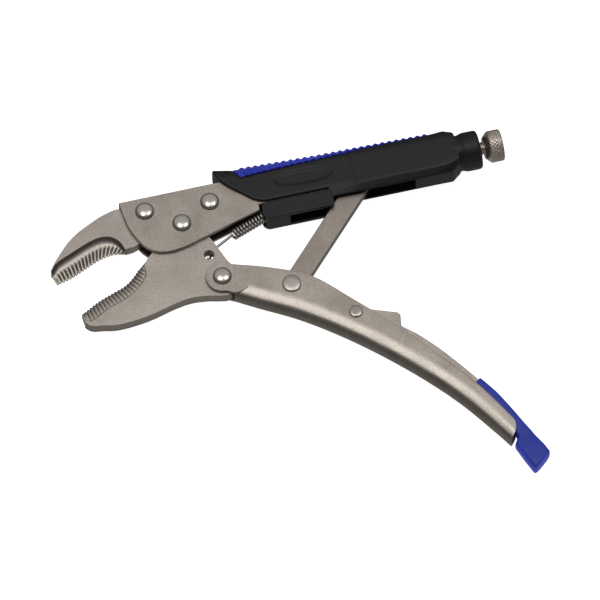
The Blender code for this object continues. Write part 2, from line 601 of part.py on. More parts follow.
def main():
    for item in list(bpy.data.objects):
        bpy.data.objects.remove(item, do_unlink=True)

    nickel = make_material("satin_nickel", (0.56, 0.52, 0.48), 0.38, 1.0)
    channel_metal = make_material("channel_nickel", (0.58, 0.54, 0.50), 0.36, 1.0)
    handle_metal = make_material("handle_nickel", (0.57, 0.53, 0.49), 0.36, 1.0)
    polished = make_material("polished_rivet", (0.70, 0.68, 0.66), 0.14, 1.0)
    satin_rivet = make_material("satin_rivet", (0.62, 0.58, 0.54), 0.32, 1.0)
    spring_steel = make_material("spring_steel", (0.60, 0.59, 0.58), 0.22, 1.0)
    screw_steel = make_material("screw_steel", (0.56, 0.50, 0.45), 0.30, 1.0)
    black = make_material("black_rubber", (0.018, 0.019, 0.021), 0.55, 0.0)
    skirt_black = make_material("black_plastic", (0.020, 0.021, 0.023), 0.42, 0.0)
    blue = make_material("blue_rubber", (0.028, 0.045, 0.42), 0.5, 0.0)

    root = make_body("fixed_handle_body", JAW_PIVOT)
    jaw = make_body("lower_jaw_body", JAW_PIVOT, root)
    handle = make_body("lower_handle_body", HANDLE_PIVOT, jaw)
    link = make_body("toggle_link_body", LINK_PIVOT, handle)
    lever = make_body("release_lever_body", LEVER_PIVOT, handle)
    screw = make_body("adjusting_screw_body", (KNOB_X, SCREW_Y), root)
    knob = make_body("knob_body", (KNOB_X, SCREW_Y), screw)

    add_fixed_channel(root, channel_metal)
    add_upper_jaw(root, nickel)
    add_lower_jaw(jaw, nickel)
    add_lower_channel(handle, handle_metal)
    add_rivets(root, handle, polished, satin_rivet)
    add_toggle_link(link, nickel)
    add_release_lever(lever, handle_metal, blue)
    add_spring(root, spring_steel, satin_rivet)
    add_grip(root, black, skirt_black, blue)
    add_screw(screw, knob, screw_steel)


main()
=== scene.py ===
import json
from math import cos, floor, hypot, pi, radians, sin

import bmesh
import bpy
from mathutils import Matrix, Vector

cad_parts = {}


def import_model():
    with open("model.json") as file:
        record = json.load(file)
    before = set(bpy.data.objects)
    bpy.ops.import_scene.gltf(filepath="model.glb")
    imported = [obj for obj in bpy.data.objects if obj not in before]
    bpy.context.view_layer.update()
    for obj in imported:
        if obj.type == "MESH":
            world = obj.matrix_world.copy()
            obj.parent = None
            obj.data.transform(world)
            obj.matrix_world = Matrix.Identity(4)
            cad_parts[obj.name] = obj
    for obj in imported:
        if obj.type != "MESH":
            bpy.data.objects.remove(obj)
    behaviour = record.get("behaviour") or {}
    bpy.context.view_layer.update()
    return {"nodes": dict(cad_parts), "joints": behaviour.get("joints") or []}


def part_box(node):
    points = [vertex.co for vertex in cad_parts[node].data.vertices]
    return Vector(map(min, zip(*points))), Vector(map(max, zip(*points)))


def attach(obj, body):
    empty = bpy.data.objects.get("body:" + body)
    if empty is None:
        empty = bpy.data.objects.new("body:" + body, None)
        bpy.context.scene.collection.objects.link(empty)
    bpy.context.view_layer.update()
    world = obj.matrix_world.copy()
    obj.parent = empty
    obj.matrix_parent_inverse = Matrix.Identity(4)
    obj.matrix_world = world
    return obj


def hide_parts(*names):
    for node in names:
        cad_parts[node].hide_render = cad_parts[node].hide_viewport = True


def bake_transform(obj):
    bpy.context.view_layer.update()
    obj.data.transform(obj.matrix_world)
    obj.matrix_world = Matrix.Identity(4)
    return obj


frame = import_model()
NODES = frame["nodes"]
PLACES = {joint["name"]: Vector(joint["pos_m"]) for joint in frame["joints"]}
JAW = PLACES["jaw_pivot"]
MM = 0.001
# The tool's lengths are in millimetres, and its places are taken from the jaw pivot.
GAP = 0.3


def from_jaw(place):
    """A joint's place in the plane, in millimetres from the jaw pivot."""
    return ((place.x - JAW.x) / MM, (place.y - JAW.y) / MM)


HANDLE_PIVOT = from_jaw(PLACES["handle_pivot"])
KNOB_X, SCREW_Y = from_jaw(PLACES["knob_turn"])


# ---------------------------------------------------------------- shapes

def world(x, y, z=0.0):
    """A point of the frame from millimetres from the jaw pivot."""
    return JAW + Vector((x, y, z)) * MM


def smooth_curve(points, count):
    """Points evenly along a soft curve through the given points."""
    fine = []
    last = len(points) - 1
    for i in range(last):
        before = points[max(i - 1, 0)]
        a = points[i]
        b = points[i + 1]
        after = points[min(i + 2, last)]
        for k in range(16):
            t = k / 16
            fine.append(tuple(
                0.5 * (2 * a[j] + (b[j] - before[j]) * t
                       + (2 * before[j] - 5 * a[j] + 4 * b[j] - after[j]) * t * t
                       + (3 * a[j] - before[j] - 3 * b[j] + after[j]) * t ** 3)
                for j in range(len(a))))
    fine.append(points[last])
    lengths = [0.0]
    for p, q in zip(fine, fine[1:]):
        lengths.append(lengths[-1] + max(1e-9, sum((q[j] - p[j]) ** 2 for j in range(len(p))) ** 0.5))
    result = []
    k = 0
    for i in range(count):
        want = lengths[-1] * i / (count - 1)
        while k < len(fine) - 2 and lengths[k + 1] < want:
            k += 1
        t = (want - lengths[k]) / (lengths[k + 1] - lengths[k])
        result.append(tuple(p + (q - p) * t for p, q in zip(fine[k], fine[k + 1])))
    return result


def arc(centre, radius, start, end, count):
    """Points on an arc, angles in degrees."""
    angles = [radians(start + (end - start) * i / (count - 1)) for i in range(count)]
    return [(centre[0] + radius * cos(a), centre[1] + radius * sin(a)) for a in angles]


def anticlockwise(points):
    """An outline turned so that its inside is on the left."""
    area = sum(p[0] * q[1] - q[0] * p[1] for p, q in zip(points, points[1:] + points[:1]))
    return points if area > 0 else points[::-1]


def loft(rings):
    """Vertices and faces of a skin over rings of equally many points, closed at both ends."""
    size = len(rings[0])
    vertices = [point for ring in rings for point in ring]
    faces = []
    for r in range(len(rings) - 1):
        here = r * size
        there = here + size
        for i in range(size):
            j = (i + 1) % size
            faces.append((here + i, here + j, there + j, there + i))
    faces.append(tuple(range(size)))
    faces.append(tuple(range(len(vertices) - size, len(vertices))))
    return vertices, faces


def prism(outline, low, high):
    """An outline raised from one height to another."""
    return loft([[(x, y, z) for x, y in outline] for z in (low, high)])


def slab(low, high, half):
    """A box between two corners of the plane, as deep below the middle as above it."""
    corners = [(low[0], low[1]), (high[0], low[1]), (high[0], high[1]), (low[0], high[1])]
    return prism(corners, -half, half)


def turned_z(profile, centre, steps=64):
    """A round solid standing across the tool, from pairs of radius and height."""
    rings = []
    for radius, z in profile:
        rings.append([(centre[0] + radius * cos(2 * pi * i / steps),
                       centre[1] + radius * sin(2 * pi * i / steps), z) for i in range(steps)])
    return loft(rings)


def turned_x(profile, steps=64, ripple=None):
    """A round solid about the screw's axis; ripple(angle, x, radius) says where it isn't round."""
    rings = []
    for radius, x in profile:
        ring = []
        for i in range(steps):
            a = 2 * pi * i / steps
            r = ripple(a, x, radius) if ripple else radius
            ring.append((x, SCREW_Y + r * cos(a), r * sin(a)))
        rings.append(ring)
    return loft(rings)


def build(name, shape, angle=35):
    """A mesh object in the frame from a shape in millimetres from the jaw pivot."""
    vertices, faces = shape
    mesh = bpy.data.meshes.new(name)
    mesh.from_pydata([world(*v) for v in vertices], [], faces)
    work = bmesh.new()
    work.from_mesh(mesh)
    bmesh.ops.recalc_face_normals(work, faces=work.faces)
    work.to_mesh(mesh)
    work.free()
    mesh.shade_smooth()
    mesh.set_sharp_from_angle(angle=radians(angle))
    item = bpy.data.objects.new(name, mesh)
    bpy.context.scene.collection.objects.link(item)
    return item


def freeze(item):
    """The object's modifiers applied to its mesh."""
    depsgraph = bpy.context.evaluated_depsgraph_get()
    mesh = bpy.data.meshes.new_from_object(item.evaluated_get(depsgraph))
    item.modifiers.clear()
    item.data = mesh


def combine(item, shape, operation="DIFFERENCE", bevel=0.0, folded=False):
    """Cut or join a helper shape, and drop the helper; a folded item may touch itself."""
    helper = build("helper", shape)
    if bevel:
        round_edges(helper, bevel)
        freeze(helper)
    modifier = item.modifiers.new("combine", "BOOLEAN")
    modifier.operation = operation
    modifier.solver = "EXACT"
    modifier.use_self = folded
    modifier.object = helper
    freeze(item)
    bpy.data.objects.remove(helper, do_unlink=True)


def round_edges(item, width, segments=3, angle=40):
    """Soft rounding on every edge sharper than the angle."""
    modifier = item.modifiers.new("edges", "BEVEL")
    modifier.width = width * MM
    modifier.segments = segments
    modifier.limit_method = "ANGLE"
    modifier.angle_limit = radians(angle)


def remould(item, voxel, passes):
    """Even out a joined shape into one moulded skin with soft edges."""
    modifier = item.modifiers.new("skin", "REMESH")
    modifier.mode = "VOXEL"
    modifier.voxel_size = voxel * MM
    modifier.use_smooth_shade = True
    soften = item.modifiers.new("soften", "SMOOTH")
    soften.factor = 0.5
    soften.iterations = passes
    freeze(item)
    item.data.shade_smooth()


def even_flats(item):
    """Flat faces keep one even tone; only the rounded edges turn the light."""
    modifier = item.modifiers.new("even_flats", "WEIGHTED_NORMAL")
    modifier.keep_sharp = True


def fit(item, body, slot, material, *nodes):
    """The piece takes its material, its body and the place of its CAD nodes."""
    item.data.materials.clear()
    item.data.materials.append(material)
    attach(item, body)
    if nodes:
        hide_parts(*nodes)
    return item


# ---------------------------------------------------------------- materials

# The Mix node keeps a separate set of sockets for colours.
MIX_FACTOR = 0
MIX_A = 6
MIX_B = 7
MIX_RESULT = 2
# How far a corner turns, as a cosine, where wear begins and where it is complete.
WEAR_BEGINS = 0.985
WEAR_FULL = 0.86
# The line across the mouth: the upper jaw's ridges are behind it and the lower jaw's in front.
MOUTH_LINE = -18.2


class Graph:
    """A small helper for building a node material."""

    def __init__(self, name):
        self.material = bpy.data.materials.new(name)
        self.material.use_nodes = True
        self.tree = self.material.node_tree
        self.shader = self.tree.nodes["Principled BSDF"]
        self.place = self.add("ShaderNodeTexCoord").outputs["Object"]

    def add(self, kind, **settings):
        node = self.tree.nodes.new(kind)
        for key, value in settings.items():
            setattr(node, key, value)
        return node

    def link(self, source, target):
        self.tree.links.new(source, target)

    def noise(self, scale, detail, roughness, stretch=None):
        """Cloudy noise; the scale is roughly the number of features in a metre."""
        place = self.place
        if stretch:
            mapping = self.add("ShaderNodeMapping")
            mapping.inputs["Scale"].default_value = stretch
            self.link(place, mapping.inputs["Vector"])
            place = mapping.outputs["Vector"]
        node = self.add("ShaderNodeTexNoise")
        node.inputs["Scale"].default_value = scale
        node.inputs["Detail"].default_value = detail
        node.inputs["Roughness"].default_value = roughness
        self.link(place, node.inputs["Vector"])
        return node.outputs["Fac"]

    def ramp(self, value, low, high, start=0.0, end=1.0):
        """A value that runs from low to high while the input runs from start to end."""
        node = self.add("ShaderNodeMapRange")
        node.inputs["From Min"].default_value = start
        node.inputs["From Max"].default_value = end
        node.inputs["To Min"].default_value = low
        node.inputs["To Max"].default_value = high
        self.link(value, node.inputs["Value"])
        return node.outputs["Result"]

    def mix(self, factor, a, b):
        node = self.add("ShaderNodeMix", data_type="RGBA")
        for value, at in ((factor, MIX_FACTOR), (a, MIX_A), (b, MIX_B)):
            socket = node.inputs[at]
            if isinstance(value, bpy.types.NodeSocket):
                self.link(value, socket)
            elif isinstance(value, tuple):
                socket.default_value = (*value, 1.0)
            else:
                socket.default_value = value
        return node.outputs[MIX_RESULT]

    def sum(self, a, b, operation="ADD"):
        node = self.add("ShaderNodeMath", operation=operation)
        for value, socket in ((a, node.inputs[0]), (b, node.inputs[1])):
            if isinstance(value, bpy.types.NodeSocket):
                self.link(value, socket)
            else:
                socket.default_value = value
        return node.outputs[0]

    def edges(self, radius):
        """1 on worn corners, 0 on flats: how far a rounded normal leans from the real one."""
        rounded = self.add("ShaderNodeBevel", samples=6)
        rounded.inputs["Radius"].default_value = radius * MM
        plain = self.add("ShaderNodeNewGeometry")
        dot = self.add("ShaderNodeVectorMath", operation="DOT_PRODUCT")
        self.link(rounded.outputs["Normal"], dot.inputs[0])
        self.link(plain.outputs["Normal"], dot.inputs[1])
        return self.ramp(dot.outputs["Value"], 1.0, 0.0, WEAR_FULL, WEAR_BEGINS)

    def painted_scoop_shade(self):
        """Painted shade: 1 on the upper jaw's scooped, sloping faces behind the mouth line, 0 elsewhere."""
        normal = self.add("ShaderNodeSeparateXYZ")
        self.link(self.add("ShaderNodeNewGeometry").outputs["Normal"], normal.inputs[0])
        upright = self.sum(normal.outputs["Z"], 0.0, "ABSOLUTE")
        not_a_side = self.ramp(upright, 0.0, 1.0, 0.4, 0.55)
        not_a_flat = self.ramp(upright, 1.0, 0.0, 0.93, 0.99)
        place = self.add("ShaderNodeSeparateXYZ")
        self.link(self.place, place.inputs[0])
        line = JAW.y + MOUTH_LINE * MM
        behind = self.ramp(place.outputs["Y"], 0.0, 1.0, line, line + 0.4 * MM)
        return self.sum(self.sum(not_a_side, not_a_flat, "MULTIPLY"), behind, "MULTIPLY")

    def painted_hollow_shade(self, reach):
        """Painted shade: 1 deep between neighbouring faces, 0 in the open."""
        node = self.add("ShaderNodeAmbientOcclusion", samples=8)
        node.inputs["Distance"].default_value = reach * MM
        return self.ramp(node.outputs["AO"], 1.0, 0.0, 0.15, 0.8)

    def bump(self, height, strength, distance, before=None):
        """A relief of the given depth, laid over an earlier one if there is one."""
        node = self.add("ShaderNodeBump")
        node.inputs["Strength"].default_value = strength
        node.inputs["Distance"].default_value = distance * MM
        self.link(height, node.inputs["Height"])
        if before is not None:
            self.link(before, node.inputs["Normal"])
        return node.outputs["Normal"]

    def finish(self, colour, roughness, normal):
        self.link(colour, self.shader.inputs["Base Color"])
        self.link(roughness, self.shader.inputs["Roughness"])
        self.link(normal, self.shader.inputs["Normal"])
        return self.material


def plated(name, light, dark, rough, grain=1.0, wear=0.5, edge=0.35, painted_scoop_shade=0.0):
    """Satin nickel plate: cloudy tone, fine peened grain, a few specks, brighter worn edges, and painted
    shade on scooped faces where asked.
    """
    g = Graph(name)
    g.shader.inputs["Metallic"].default_value = 1.0
    cloud = g.noise(55, 4.0, 0.6)
    fine = g.noise(1250, 3.0, 0.65)
    grit = g.noise(4200, 2.0, 0.7)
    speck = g.ramp(g.noise(700, 2.0, 0.5), 0.0, 1.0, 0.66, 0.74)
    worn = g.edges(edge)
    tone = g.mix(g.ramp(cloud, 0.0, 1.0, 0.35, 0.65), dark, light)
    tone = g.mix(g.ramp(fine, 0.0, 0.58, 0.38, 0.66), tone, tuple(c * 0.66 for c in dark))
    tone = g.mix(g.sum(speck, 0.28, "MULTIPLY"), tone, tuple(c * 0.5 for c in dark))
    # Painted shade: the upper jaw's scooped faces are darkened to stand for the dark studio they reflect.
    if painted_scoop_shade:
        tone = g.mix(g.sum(g.painted_scoop_shade(), painted_scoop_shade, "MULTIPLY"), tone, tuple(c * 0.3 for c in dark))
    tone = g.mix(g.sum(worn, wear, "MULTIPLY"), tone, tuple(min(1.0, c * 1.3) for c in light))
    patches = g.ramp(cloud, rough - 0.03, rough + 0.04, 0.35, 0.65)
    roughness = g.sum(patches, g.ramp(grit, -0.05, 0.07, 0.3, 0.7))
    roughness = g.sum(roughness, g.sum(worn, -0.08, "MULTIPLY"))
    normal = g.bump(fine, 0.50 * grain, 0.08)
    normal = g.bump(grit, 0.30 * grain, 0.025, normal)
    return g.finish(tone, roughness, normal)


def polished(name, colour, rough):
    """Bright polished metal with faint rubbing marks, and painted shade deep between neighbouring faces."""
    g = Graph(name)
    g.shader.inputs["Metallic"].default_value = 1.0
    cloud = g.noise(240, 3.0, 0.6)
    marks = g.noise(900, 2.0, 0.5, stretch=(1.0, 6.0, 1.0))
    tone = g.mix(g.ramp(cloud, 0.0, 0.5, 0.4, 0.7), colour, tuple(c * 0.8 for c in colour))
    # Painted shade: the colour goes almost black where other faces are close, such as the coil's back turns
    # and gaps.
    tone = g.mix(g.painted_hollow_shade(2.6), tone, tuple(c * 0.08 for c in colour))
    roughness = g.sum(g.ramp(marks, rough, rough + 0.07, 0.35, 0.7), g.ramp(cloud, 0.0, 0.05, 0.4, 0.7))
    return g.finish(tone, roughness, g.bump(marks, 0.06, 0.02))


def moulded(name, colour, light, rough, texture=1.0, wear=0.3):
    """Moulded rubber or plastic: spark-eroded fine grain, handling sheen, paler rubbed edges."""
    g = Graph(name)
    g.shader.inputs["Metallic"].default_value = 0.0
    g.shader.inputs["Specular IOR Level"].default_value = 0.45
    cloud = g.noise(70, 4.0, 0.6)
    grain = g.noise(2600, 3.0, 0.6)
    dust = g.ramp(g.noise(520, 4.0, 0.7), 0.0, 1.0, 0.62, 0.8)
    worn = g.edges(0.5)
    tone = g.mix(g.ramp(cloud, 0.0, 0.5, 0.35, 0.7), colour, light)
    tone = g.mix(g.sum(dust, 0.12, "MULTIPLY"), tone, tuple(min(1.0, c * 1.5 + 0.05) for c in light))
    tone = g.mix(g.sum(worn, wear, "MULTIPLY"), tone, tuple(min(1.0, c * 1.6 + 0.01) for c in light))
    patches = g.ramp(cloud, rough - 0.05, rough + 0.06, 0.35, 0.65)
    roughness = g.sum(patches, g.ramp(grain, -0.05, 0.06, 0.35, 0.65))
    return g.finish(tone, roughness, g.bump(grain, 0.30 * texture, 0.05))


SHEET_NICKEL = plated("sheet_nickel_plate", (0.57, 0.515, 0.46), (0.47, 0.42, 0.37), 0.34)
# The jaw plate carries painted shade on the upper jaw's scooped faces.
JAW_NICKEL = plated("jaw_nickel_plate", (0.62, 0.56, 0.505), (0.51, 0.46, 0.41), 0.37, painted_scoop_shade=0.7)
LINK_NICKEL = plated("link_nickel_plate", (0.47, 0.42, 0.37), (0.38, 0.335, 0.295), 0.38)
SCREW_NICKEL = plated("screw_nickel_plate", (0.97, 0.89, 0.79), (0.74, 0.66, 0.57), 0.32,
                      grain=0.5, edge=0.18)
RIVET_SATIN = plated("rivet_satin_plate", (0.58, 0.535, 0.485), (0.48, 0.44, 0.39), 0.30, grain=0.5)
RIVET_POLISHED = polished("rivet_polish", (0.66, 0.62, 0.575), 0.15)
SPRING_STEEL = polished("spring_wire_polish", (0.60, 0.56, 0.52), 0.30)
GRIP_BLACK = moulded("grip_black_rubber", (0.008, 0.0085, 0.009), (0.013, 0.014, 0.015), 0.46, wear=0.12)
SKIRT_BLACK = moulded("skirt_black_plastic", (0.0085, 0.009, 0.010), (0.012, 0.013, 0.015), 0.42,
                      texture=0.7, wear=0.06)
GRIP_BLUE = moulded("grip_blue_rubber", (0.035, 0.055, 0.66), (0.048, 0.075, 0.80), 0.46)
SLEEVE_BLUE = moulded("sleeve_blue_rubber", (0.030, 0.060, 0.56), (0.042, 0.080, 0.68), 0.42, texture=0.6)


# ---------------------------------------------------------------- pieces of the tool

def dress_cad(node, material, edge=0.0):
    """A CAD piece that keeps its shape: smooth over its shallow edges, rounded on its sharp ones."""
    item = NODES[node]
    item.data.materials.clear()
    item.data.materials.append(material)
    weld = item.modifiers.new("weld", "WELD")
    weld.merge_threshold = 0.005 * MM
    if edge:
        round_edges(item, edge, 2, 50)
    return item


# A rivet's head: radius, height, and how round it is, from 0 for a flat head to 1 for a full dome.
DOMED_HEAD = (4.95, 1.9, 1.0)
LOW_HEAD = (4.95, 0.9, 0.62)
SMALL_HEAD = (3.5, 0.7, 0.6)
HEAD_STEPS = 14
HEAD_RIM = 0.25
HEAD_TIP = 0.02
# Shares of a head's radius: the shank, the lower rim, a flat head's lean inwards and the edge of its top.
SHANK_SHARE = 0.62
RIM_SHARE = 0.97
FLAT_TAPER = 0.16
FLAT_SHARE = 0.80


def make_rivet(node, body, slot, material, head):
    """A rivet with the same head at both ends."""
    radius, height, dome = head
    low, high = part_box(node)
    centre = from_jaw((low + high) / 2)
    top = (high.z - JAW.z) / MM
    base = top - height
    profile = [(radius * SHANK_SHARE, base), (radius * RIM_SHARE, base)]
    for i in range(HEAD_STEPS + 1):
        a = pi / 2 * i / HEAD_STEPS
        full = radius * cos(a) + HEAD_TIP
        flat = radius - (radius * FLAT_TAPER) * (1 - cos(a)) if i < HEAD_STEPS else radius * FLAT_SHARE
        profile.append((full * dome + flat * (1 - dome), base + HEAD_RIM + (height - HEAD_RIM) * sin(a)))
    if dome < 1:
        profile += [(radius * share * (1 - dome), top) for share in (0.7, 0.4, 0.1)]
    mirrored = [(r, -z) for r, z in reversed(profile)]
    return fit(build(node + "_heads", turned_z(mirrored + profile, centre)), body, slot, material, node)


KNURL_CUTS = 25
KNURL_DEPTH = 0.42
KNURL_LEAN = 0.85
KNURL_STEEPNESS = 2.2
# How long the cone is, and how far short of the knob's face the knurl stops.
KNOB_CONE = 3.0
KNOB_RIM = 0.6


def make_knob():
    """The knob: a cone behind, a diamond knurl round its rim and a shallow recess in its face."""
    low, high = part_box("knurled_knob")
    radius = (high.z - low.z) / 2 / MM
    start = (low.x - JAW.x) / MM
    end = (high.x - JAW.x) / MM
    cone = start + KNOB_CONE
    face = end - KNOB_RIM

    def knurl(angle, x, base):
        """Two sets of grooves, one leaning each way, leave diamonds between them."""
        rim = min(x - cone, face - x)
        if base < radius - 0.05 or rim < 0.0:
            return base
        lean = KNURL_CUTS / radius * KNURL_LEAN / (2 * pi)
        turn = KNURL_CUTS * angle / (2 * pi)
        waves = []
        for phase in (turn + lean * (x - cone), turn - lean * (x - cone)):
            part = phase - floor(phase)
            waves.append(1 - abs(2 * part - 1))
        return base - KNURL_DEPTH * (1 - min(1.0, KNURL_STEEPNESS * min(waves)))

    profile = [(3.4, start + 0.2), (5.0, start + 0.02), (5.5, start), (5.85, start + 0.2)]
    profile += [(radius - 0.45, cone - 0.5), (radius - 0.15, cone - 0.15)]
    steps = 34
    profile += [(radius, cone + (face - cone) * i / steps) for i in range(steps + 1)]
    profile += [(radius - 0.25, face + 0.2), (radius - 0.55, end - 0.08), (radius - 0.85, end), (6.6, end),
                (6.2, end - 0.35), (0.3, end - 0.35)]
    knob = build("knob_knurled", turned_x(profile, 408, knurl), 28)
    return fit(knob, "knob", "screw_steel", SCREW_NICKEL, "knurled_knob")


THREAD_START = 30.0
THREAD_PITCH = 1.5
THREAD_DEPTH = 0.45
SHANK_R = 2.8
SPIGOT_R = 2.4
SPIGOT_LENGTH = 3.5


def make_screw():
    """The adjusting screw with a rolled, round-crested thread."""
    low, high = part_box("adjusting_screw")
    tip = (low.x - JAW.x) / MM
    thread = tip + THREAD_START
    crest = (high.z - low.z) / 2 / MM

    def rolled(angle, x, base):
        if base < crest:
            return base
        wave = 0.5 - 0.5 * cos(2 * pi * (x / THREAD_PITCH - angle / (2 * pi)))
        return base - THREAD_DEPTH * wave ** 1.6

    profile = [(0.3, tip), (1.6, tip + 0.3), (2.5, tip + 1.0), (SHANK_R, tip + 1.8), (SHANK_R, thread - 1.0)]
    steps = 190
    profile += [(crest, thread + (KNOB_X - GAP - thread) * i / steps) for i in range(steps + 1)]
    profile += [(SPIGOT_R, KNOB_X - GAP + 0.05), (SPIGOT_R, KNOB_X + SPIGOT_LENGTH)]
    screw = build("screw_threaded", turned_x(profile, 48, rolled), 60)
    return fit(screw, "screw", "screw_steel", SCREW_NICKEL, "adjusting_screw")


def tube_along(name, path, radius):
    """A round wire along a path, as a mesh."""
    curve = bpy.data.curves.new(name, "CURVE")
    curve.dimensions = "3D"
    curve.bevel_depth = radius * MM
    curve.bevel_resolution = 3
    curve.use_fill_caps = True
    line = curve.splines.new("POLY")
    line.points.add(len(path) - 1)
    for point, place in zip(line.points, path):
        point.co = (*world(*place), 1.0)
    guide = bpy.data.objects.new(name + "_guide", curve)
    bpy.context.scene.collection.objects.link(guide)
    depsgraph = bpy.context.evaluated_depsgraph_get()
    mesh = bpy.data.meshes.new_from_object(guide.evaluated_get(depsgraph))
    bpy.data.objects.remove(guide, do_unlink=True)
    mesh.shade_smooth()
    item = bpy.data.objects.new(name, mesh)
    bpy.context.scene.collection.objects.link(item)
    return item


SPRING_HOLE = (9.8, -20.9)
SPRING_HOLE_R = 2.85
# The mouth's edge in steps: half height, and share of the way from the ridged crest to the side face.
UPPER_STEPS = ((3.3, 1.0), (3.2, 0.994), (2.85, 0.965), (2.45, 0.925), (2.0, 0.87), (1.6, 0.80), (1.28, 0.72),
               (1.08, 0.64), (1.0, 0.56), (0.95, 0.44), (0.86, 0.28), (0.7, 0.12), (0.55, 0.0), (0.25, 0.0))
LOWER_STEPS = ((3.3, 1.0), (3.2, 0.993), (2.75, 0.965), (2.5, 0.94), (2.62, 0.905), (3.0, 0.865),
               (3.05, 0.80), (3.0, 0.58), (2.9, 0.38), (2.6, 0.20), (2.1, 0.06), (1.5, 0.0), (0.7, 0.0))
TOOTH_SAMPLES = 8
# How gently the grooves run out towards the side face, as a share of the way.
GROOVE_FADE = 0.12
# The first levels of the outer rim, a soft chamfer: how far in, and half height.
RIM_LEVELS = ((0.32, 3.3), (0.10, 3.17))
JAW_SHARP_ANGLE = 32


def make_jaw(node, body, crest, side, back, teeth, steps, ridged_from, height, bite):
    """A jaw plate with a scooped shoulder and flat-topped ridges, parted by grooves, across its mouth."""
    count = teeth * TOOTH_SAMPLES + 1
    crest = smooth_curve(crest, count)
    side = smooth_curve(side, count)
    half = []
    for level, (z, share) in enumerate(steps):
        depth = min(1.0, max(0.0, (ridged_from - share) / GROOVE_FADE))
        mouth = []
        for i, (c, s) in enumerate(zip(crest, side)):
            phase = (i % TOOTH_SAMPLES) / TOOTH_SAMPLES
            groove = max(0.0, 1.8 * (1 - abs(2 * phase - 1)) - 0.8)
            ends = min(1.0, i / TOOTH_SAMPLES, (count - 1 - i) / TOOTH_SAMPLES)
            groove *= ends * depth
            part = share + bite * groove * (1 - share) ** 2 / hypot(s[0] - c[0], s[1] - c[1])
            drop = height * groove * (share > 0)
            mouth.append((c[0] + (s[0] - c[0]) * part, c[1] + (s[1] - c[1]) * part, z - drop))
        rim = back
        rim_z = z
        if level < len(RIM_LEVELS):
            rim = inset(back, RIM_LEVELS[level][0])
            rim_z = RIM_LEVELS[level][1]
        half.append(mouth + [(x, y, rim_z) for x, y in rim])
    lower = [[(x, y, -z) for x, y, z in ring] for ring in half]
    jaw = build(node + "_forged", loft(lower + half[::-1]), JAW_SHARP_ANGLE)
    return fit(jaw, body, "jaw_nickel", JAW_NICKEL, node)


def inset(points, distance):
    """An open run of an anticlockwise outline moved inwards."""
    result = []
    last = len(points) - 1
    for i, (x, y) in enumerate(points):
        a = points[max(i - 1, 0)]
        b = points[min(i + 1, last)]
        run = max(hypot(b[0] - a[0], b[1] - a[1]), 1e-9)
        result.append((x - (b[1] - a[1]) / run * distance, y + (b[0] - a[0]) / run * distance))
    return result


def make_upper_jaw():
    """The fixed jaw, with a saddle round the pivot and a tail behind it."""
    crest = [(-71.5, -18.2), (-67.4, -17.3), (-62.4, -15.8), (-57.8, -13.8), (-52.6, -11.4), (-46.8, -9.0),
             (-42.0, -7.8), (-37.5, -7.6), (-33.6, -8.4)]
    side = [(-73.3, -11.4), (-70.0, -7.6), (-66.2, -5.4), (-61.4, -3.4), (-54.9, -0.6), (-49.0, 1.6),
            (-44.0, 2.7), (-39.8, 2.3), (-36.4, 0.6), (-33.9, -2.6), (-32.3, -7.4)]
    saddle = arc((0.0, 0.0), 9.6, 166, 24, 30)
    tail = [(14.0, 3.6), (19.0, 3.4)] + arc((19.5, 8.4), 5.0, -80, 0, 9) + [(24.5, 14.0), (22.0, 17.0)]
    spine = smooth_curve([(-29.8, 17.0), (-33.1, 17.1), (-41.0, 14.8), (-47.3, 11.9), (-54.2, 8.4),
                          (-60.3, 4.0), (-66.0, -1.6), (-71.0, -7.4), (-73.2, -10.6)], 40)
    back = [(-28.0, -7.2), (-24.0, -5.8), (-13.5, -1.2)] + saddle + tail + spine
    jaw = make_jaw("upper_jaw", "fixed_handle", crest, side, back, teeth=20, steps=UPPER_STEPS,
                   ridged_from=0.60, height=0.45, bite=0.95)
    even_flats(jaw)


def make_lower_jaw():
    """The moving jaw: an eye round the pivot, a heel for the handle and the hole for the spring."""
    crest = [(-63.2, -39.4), (-59.6, -37.4), (-53.8, -34.2), (-48.2, -31.9), (-42.7, -29.9), (-38.4, -28.4),
             (-34.4, -26.0), (-31.2, -23.2), (-28.6, -20.6), (-25.4, -18.2)]
    side = [(-62.6, -44.0), (-58.9, -45.4), (-54.5, -43.6), (-49.5, -40.9), (-44.6, -38.8), (-38.9, -36.8),
            (-34.3, -34.6), (-30.4, -32.0), (-27.4, -29.0), (-25.2, -25.6), (-24.6, -22.2), (-24.9, -19.6)]
    eye = arc((0.0, 0.0), 9.2, 200, -40, 40)
    heel = smooth_curve([(12.0, -10.5), (15.0, -18.0), (18.6, -27.5), (22.4, -33.5), (22.8, -39.0),
                         (19.4, -44.6), (13.5, -46.4)], 30)
    belly = smooth_curve([(9.0, -45.6), (3.4, -44.3), (-5.1, -43.6), (-14.0, -44.9), (-28.0, -48.5),
                          (-38.7, -50.0), (-47.0, -50.2), (-54.3, -48.8), (-58.0, -48.3), (-60.9, -46.9),
                          (-62.6, -44.6)], 60)
    back = [(-22.5, -16.4), (-19.8, -13.9), (-14.0, -8.2)] + eye + heel + belly
    jaw = make_jaw("lower_jaw", "moving_jaw", crest, side, back, teeth=22, steps=LOWER_STEPS,
                   ridged_from=0.88, height=0.36, bite=0.8)
    combine(jaw, turned_z([(SPRING_HOLE_R, -9.0), (SPRING_HOLE_R, 9.0)], SPRING_HOLE), folded=True)
    jaw.data.set_sharp_from_angle(angle=radians(JAW_SHARP_ANGLE))
    even_flats(jaw)


COIL_START = (25.4, -10.2)
COIL_END = (51.5, -0.4)
COIL_TURNS = 15
COIL_R = 2.6
COIL_SAMPLES = 26
# Where on its circle the coil's first turn begins, in radians.
COIL_PHASE = 2.6
WIRE_R = 0.7
UPPER_HOOK_R = 1.9


